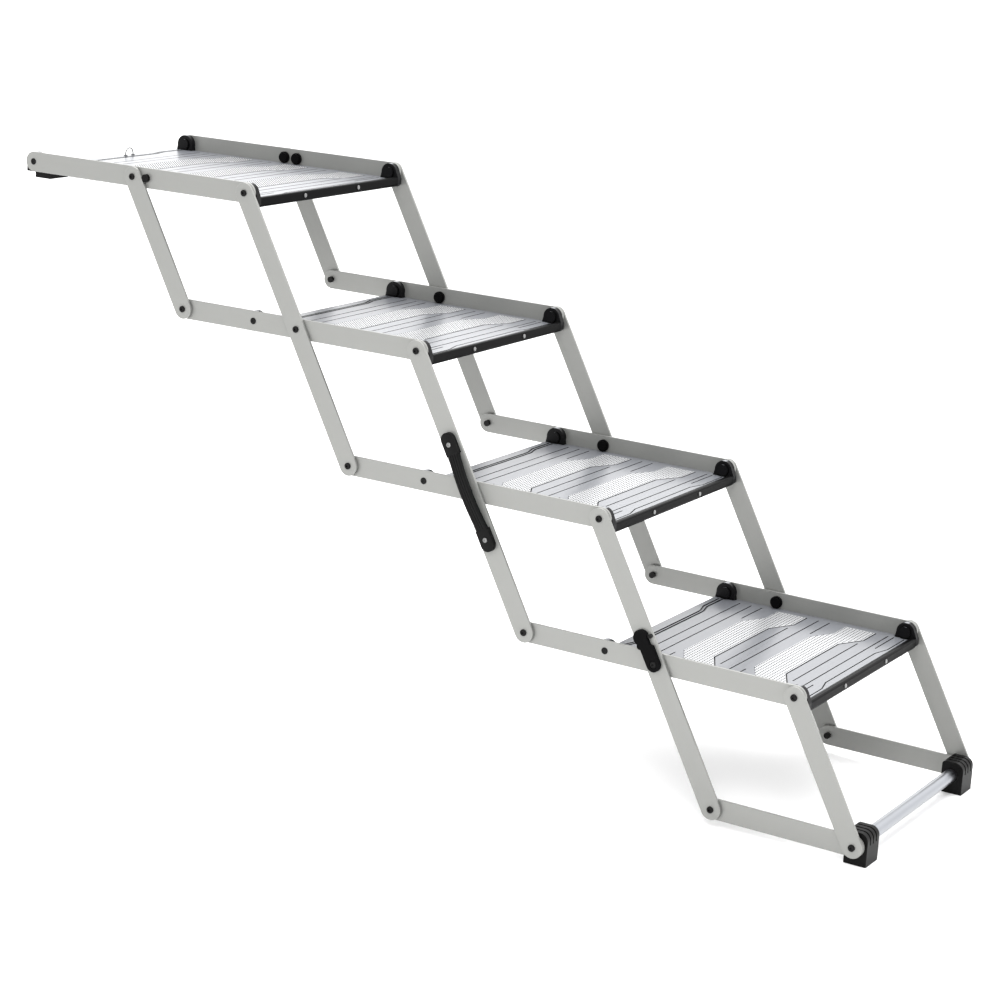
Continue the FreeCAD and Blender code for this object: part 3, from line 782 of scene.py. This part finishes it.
@dataclass
class CarryStrap:
    """The bowed, ribbed carry strap and its two end pads on the third pair of legs."""

    leg_face: float = 194.7 * MM
    reach: float = 59 * MM
    width: float = 18 * MM
    thickness: float = 5.0 * MM
    lift: float = 6.7 * MM
    end_lift: float = 0.9 * MM
    lengths: int = 28
    strips: int = 9
    ribbed_strips: int = 4
    rib_height: float = 0.55 * MM
    strap_rim: float = 0.35 * MM
    pad_centre: float = 78.5 * MM
    pad_end: float = 56 * MM
    pad_radius: float = 10.75 * MM
    pad_thickness: float = 7.0 * MM
    pad_sides: int = 48
    pad_border: float = 2.2 * MM
    pad_swell: float = 0.5 * MM
    pad_rim: float = 0.9 * MM

    def strap(self) -> bpy.types.Object:
        """Makes the strap along X, bowed away from the leg, with raised ribs along its outer face.

        Returns:
            The strap.
        """
        deselect_all()
        bpy.ops.mesh.primitive_grid_add(x_subdivisions=self.lengths, y_subdivisions=self.strips, size=1,
                                        rotation=(math.pi / 2, 0, 0))
        strap = bpy.context.object
        strap.scale = (2 * self.reach, self.width, 1)
        settle(strap)
        strip = self.width / self.strips
        ribbed = self.ribbed_strips * strip
        select_faces(strap, lambda face: round(face.center.z / strip) % 2 == 1 and abs(face.center.z) < ribbed)
        bpy.ops.mesh.extrude_region_move(TRANSFORM_OT_translate={"value": (0, -self.rib_height, 0)})
        bpy.ops.object.mode_set(mode="OBJECT")
        for corner in strap.data.vertices:
            along = corner.co.x / self.reach
            corner.co.y -= self.end_lift + (self.lift - self.end_lift) * (1 - along * along) + self.thickness
        wall = strap.modifiers.new("wall", "SOLIDIFY")
        wall.thickness = self.thickness
        wall.offset = -1.0
        wall.use_even_offset = False
        rim = strap.modifiers.new("rim", "BEVEL")
        rim.width = self.strap_rim
        rim.segments = 2
        rim.limit_method = "ANGLE"
        rim.angle_limit = math.radians(50)
        apply_modifiers(strap)
        return strap

    def end_pad(self, way: int) -> bpy.types.Object:
        """Makes one pad, round at its outer end and square where the strap comes out.

        Args:
            way: 1 for the lower end, -1 for the upper.

        Returns:
            The pad.
        """
        deselect_all()
        middle = Vector((way * self.pad_centre, -self.pad_thickness / 2, 0))
        bpy.ops.mesh.primitive_cylinder_add(vertices=self.pad_sides, radius=self.pad_radius, depth=self.pad_thickness,
                                            location=middle, rotation=(math.pi / 2, 0, 0))
        pad = bpy.context.object
        settle(pad)
        bpy.ops.object.mode_set(mode="EDIT")
        bpy.ops.mesh.select_mode(type="VERT")
        bpy.ops.mesh.select_all(action="DESELECT")
        bpy.ops.object.mode_set(mode="OBJECT")
        for corner in pad.data.vertices:
            corner.select = way * corner.co.x < self.pad_centre - 0.1 * MM
        bpy.ops.object.mode_set(mode="EDIT")
        bpy.ops.transform.resize(value=(0, 1, 1), center_override=(way * self.pad_end, 0, 0))
        bpy.ops.object.mode_set(mode="OBJECT")
        select_faces(pad, lambda face: face.normal.y < -0.9)
        bpy.ops.mesh.inset(thickness=self.pad_border)
        bpy.ops.transform.translate(value=(0, -self.pad_swell, 0))
        bpy.ops.object.mode_set(mode="OBJECT")
        rim = pad.modifiers.new("rim", "BEVEL")
        rim.width = self.pad_rim
        rim.segments = 3
        rim.limit_method = "ANGLE"
        rim.angle_limit = math.radians(40)
        apply_modifiers(pad)
        return pad

    def build(self, finishes: FinishBook) -> None:
        """Makes, places and dresses the strap with its pads.

        Args:
            finishes: The finishes to dress them with.
        """
        piece = join([self.strap(), self.end_pad(-1), self.end_pad(1)], "carry_strap")
        pivot = joint_place("legs_3_on_middle_tread")
        place = Matrix.Translation(pivot + Vector((0, -self.leg_face, 0)))
        piece.matrix_world = place @ Matrix.Rotation(LEG_SLOPE, 4, "Y")
        settle(piece)
        pick(piece)
        bpy.ops.object.shade_smooth_by_angle(angle=math.radians(35))
        finishes.dress(piece, STRAP)
        hand_over(piece, "legs_3", ["handle"])


@dataclass
class Studio:
    """A plain pale floor, soft lights and the camera."""

    floor_half: float = 9.0
    lens: float = 90.2
    azimuth: float = math.radians(31.26)
    elevation: float = math.radians(14.79)
    roll: float = math.radians(3.12)
    reach: Vector = field(default_factory=lambda: Vector((2.4283, -3.0871, 0.5177)))
    bright_side: tuple[float, float, float] = (-0.42, 0.7, 0.58)
    dim: float = 0.7
    bright: float = 2.4

    def floor(self) -> None:
        """Lays the flat floor."""
        deselect_all()
        bpy.ops.mesh.primitive_plane_add(size=2 * self.floor_half, location=(0, 0, 0))
        floor = bpy.context.object
        floor.name = "studio_floor"
        floor.data.materials.append(self.floor_material())

    def floor_material(self) -> bpy.types.Material:
        """Makes the floor's matte white paper.

        Returns:
            The material.
        """
        material = bpy.data.materials.new("studio_paper")
        material.use_nodes = True
        sheet = NodeSheet(material.node_tree)
        paper = sheet.add("ShaderNodeBsdfPrincipled", {"Base Color": (0.93, 0.93, 0.93, 1.0), "Roughness": 0.9,
                                                       "Specular IOR Level": 0.1,
                                                       "Emission Color": (1.0, 1.0, 1.0, 1.0),
                                                       "Emission Strength": 0.06})
        output = sheet.add("ShaderNodeOutputMaterial")
        sheet.wire(paper.outputs["BSDF"], output.inputs["Surface"])
        return material

    def softbox(self, name: str, place: Vector, aim: Vector, size: float, power: float) -> None:
        """Hangs one square area light.

        Args:
            name: The light's name.
            place: Where it hangs.
            aim: The point that it faces.
            size: The length of its side.
            power: Its power in watts.
        """
        lamp = bpy.data.lights.new(name, "AREA")
        lamp.shape = "SQUARE"
        lamp.size = size
        lamp.energy = power
        holder = bpy.data.objects.new(name, lamp)
        holder.location = place
        holder.rotation_euler = (aim - place).to_track_quat("-Z", "Y").to_euler()
        bpy.context.scene.collection.objects.link(holder)

    def surround(self) -> None:
        """Makes the white surround, brighter behind and above the stairs than in front."""
        world = bpy.data.worlds.new("studio_surround")
        world.use_nodes = True
        sheet = NodeSheet(world.node_tree)
        where = sheet.add("ShaderNodeTexCoord")
        facing = sheet.add("ShaderNodeVectorMath", {1: self.bright_side}, operation="DOT_PRODUCT")
        power = sheet.add("ShaderNodeMapRange", {"From Min": -0.6, "From Max": 0.8, "To Min": self.dim,
                                                 "To Max": self.bright})
        light = sheet.add("ShaderNodeBackground", {"Color": (1.0, 1.0, 1.0, 1.0)})
        output = sheet.add("ShaderNodeOutputWorld")
        sheet.wire(where.outputs["Generated"], facing.inputs[0])
        sheet.wire(facing.outputs["Value"], power.inputs["Value"])
        sheet.wire(power.outputs[0], light.inputs["Strength"])
        sheet.wire(light.outputs["Background"], output.inputs["Surface"])
        bpy.context.scene.world = world

    def lights(self) -> None:
        """Sets a white surround and two softboxes."""
        self.surround()
        middle = Vector((0.0, 0.0, 0.4))
        self.softbox("key_light", Vector((1.2, -2.6, 2.6)), middle, 1.6, 60.0)
        self.softbox("top_light", Vector((-0.4, 0.4, 3.0)), middle, 2.4, 50.0)

    def camera(self) -> None:
        """Places the camera."""
        lens = bpy.data.cameras.new("camera")
        lens.lens = self.lens
        lens.sensor_width = 36.0
        lens.clip_end = 60.0
        holder = bpy.data.objects.new("camera", lens)
        bpy.context.scene.collection.objects.link(holder)
        turn = (Matrix.Rotation(self.azimuth, 4, "Z") @ Matrix.Rotation(math.pi / 2 - self.elevation, 4, "X")
                @ Matrix.Rotation(self.roll, 4, "Z"))
        holder.matrix_world = Matrix.Translation(joint_place("legs_1_on_top_tread") + self.reach) @ turn
        bpy.context.scene.camera = holder

    def build(self) -> None:
        """Sets up the whole studio."""
        self.camera()
        self.floor()
        self.lights()
        bpy.context.scene.view_settings.view_transform = "Standard"
        log.info("studio ready")


def main() -> None:
    """Builds every sub-assembly in order."""
    logging.basicConfig(level=logging.INFO, format="%(name)s: %(message)s")
    deselect_all()
    finishes = FinishBook()
    Studio().build()
    finishes.dress_frame()
    Treads().build(finishes)
    CarryStrap().build(finishes)


if __name__ == "__main__":
    main()
